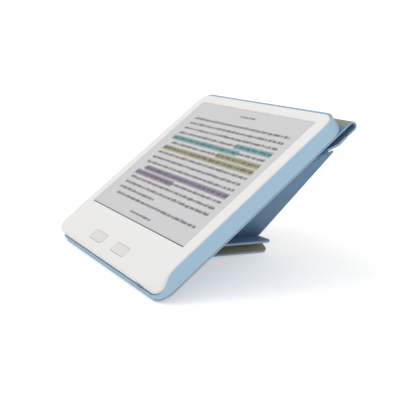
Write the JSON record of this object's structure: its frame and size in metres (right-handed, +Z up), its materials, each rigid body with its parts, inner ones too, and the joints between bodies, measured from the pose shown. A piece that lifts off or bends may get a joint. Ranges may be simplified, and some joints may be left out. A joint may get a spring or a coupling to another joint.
{
  "type": "e-reader",
  "caption": "Slim electronic-paper reader with page buttons on a wide chin, clipped in a tray with a folding cover that props it up as a stand or closes over the screen.",
  "frame": {"origin": "middle of the footprint, on the table that the object stands on", "axes": "+X to the right across the lines of text, +Y back from the chin edge, +Z up from the table"},
  "size_m": [0.164, 0.1294, 0.0968],
  "materials": {
    "shell_white": "satin moulded plastic",
    "tray_blue": "soft-touch moulded plastic",
    "cover_blue": "fine-grained synthetic leather",
    "cover_lining": "brushed microfibre",
    "felt_grey": "short felt",
    "screen_paper": "electronic paper",
    "clear_layer": "clear film",
    "seal_rubber": "silicone rubber",
    "frame_metal": "stamped",
    "board_green": "solder mask",
    "can_metal": "tinned",
    "flex_amber": "polyimide film",
    "cell_grey": "foil pouch",
    "magnet_metal": "nickel plated"
  },
  "bodies": {
    "tray": {"tray_shell": "tray_blue", "tray_felt": "felt_grey", "tray_magnets": "magnet_metal", "back_skin": "cover_blue"},
    "reader": {"front_bezel": "shell_white", "rear_cover": "shell_white", "perimeter_seal": "seal_rubber", "mid_frame": "frame_metal", "epaper_panel": "screen_paper", "light_guide": "clear_layer", "touch_film": "clear_layer", "light_strip": "flex_amber", "display_cable": "flex_amber", "battery": "cell_grey", "main_board": "board_green", "shield_cans": "can_metal", "board_screws": "can_metal", "charging_port": "can_metal", "button_board": "board_green", "page_switches": "can_metal", "power_switch": "can_metal"},
    "left_page_key": {"page_button_left": "shell_white"},
    "right_page_key": {"page_button_right": "shell_white"},
    "power_key": {"power_button": "shell_white"},
    "lower_spine": {"spine_lower": "cover_blue"},
    "upper_spine": {"spine_upper": "cover_blue"},
    "triangle": {"flap_triangle": "cover_blue", "flap_triangle_lining": "cover_lining"},
    "right_wing": {"wing_right": "cover_blue", "wing_right_lining": "cover_lining"},
    "left_wing": {"wing_left": "cover_blue", "wing_left_lining": "cover_lining"},
    "right_foot": {"foot_right": "cover_blue", "foot_right_lining": "cover_lining", "foot_magnets_right": "magnet_metal"},
    "left_foot": {"foot_left": "cover_blue", "foot_left_lining": "cover_lining", "foot_magnets_left": "magnet_metal"}
  },
  "joints": [
    {"name": "left_page_press", "type": "slide", "parent": "reader", "child": "left_page_key", "axis": [0, 0.6006, -0.7996], "range_m": [0, 0.0004], "stiffness_N_per_m": 600},
    {"name": "right_page_press", "type": "slide", "parent": "reader", "child": "right_page_key", "axis": [0, 0.6006, -0.7996], "range_m": [0, 0.0004], "stiffness_N_per_m": 600},
    {"name": "power_press", "type": "slide", "parent": "reader", "child": "power_key", "axis": [0, -0.6006, 0.7996], "range_m": [0, 0.0004], "stiffness_N_per_m": 600},
    {"name": "reader_lift", "type": "slide", "parent": "tray", "child": "reader", "axis": [0, 0.6006, -0.7996], "range_m": [-0.03, 0]},
    {"name": "spine_fold", "type": "hinge", "parent": "tray", "child": "lower_spine", "pos_m": [0, 0.0592, 0.08971], "axis": [1, 0, 0], "range_deg": [0, 90]},
    {"name": "cover_swing", "type": "hinge", "parent": "lower_spine", "child": "upper_spine", "pos_m": [0, 0.06426, 0.09063], "axis": [1, 0, 0], "range_deg": [0, 178.5]},
    {"name": "flap_fold", "type": "hinge", "parent": "upper_spine", "child": "triangle", "pos_m": [0, 0.05925, 0.08399], "axis": [1, 0, 0], "range_deg": [0, 90]},
    {"name": "stand_fold", "type": "hinge", "parent": "triangle", "child": "right_wing", "pos_m": [0.082, 0.05102, 0.07746], "axis": [-0.603, -0.6251, -0.4956], "range_deg": [0, 124.84]},
    {"name": "left_wing_fold", "type": "hinge", "parent": "triangle", "child": "left_wing", "pos_m": [-0.082, 0.05102, 0.07746], "axis": [-0.603, 0.6251, 0.4956], "range_deg": [0, 124.84]},
    {"name": "right_foot_fold", "type": "hinge", "parent": "right_wing", "child": "right_foot", "pos_m": [0.0015, -0.03243, 0.01129], "axis": [0, 0.9991, -0.0434], "range_deg": [0, 141.1]},
    {"name": "left_foot_fold", "type": "hinge", "parent": "left_wing", "child": "left_foot", "pos_m": [-0.0015, -0.03243, 0.01129], "axis": [0, 0.9991, -0.0434], "range_deg": [0, 18.67]}
  ],
  "couplings": [
    {"joint": "flap_fold", "follows": "spine_fold", "ratio": 1},
    {"joint": "left_wing_fold", "follows": "stand_fold", "ratio": 1},
    {"joint": "right_foot_fold", "follows": "stand_fold", "ratio": 1.1302},
    {"joint": "left_foot_fold", "follows": "stand_fold", "ratio": 0.14951}
  ]
}
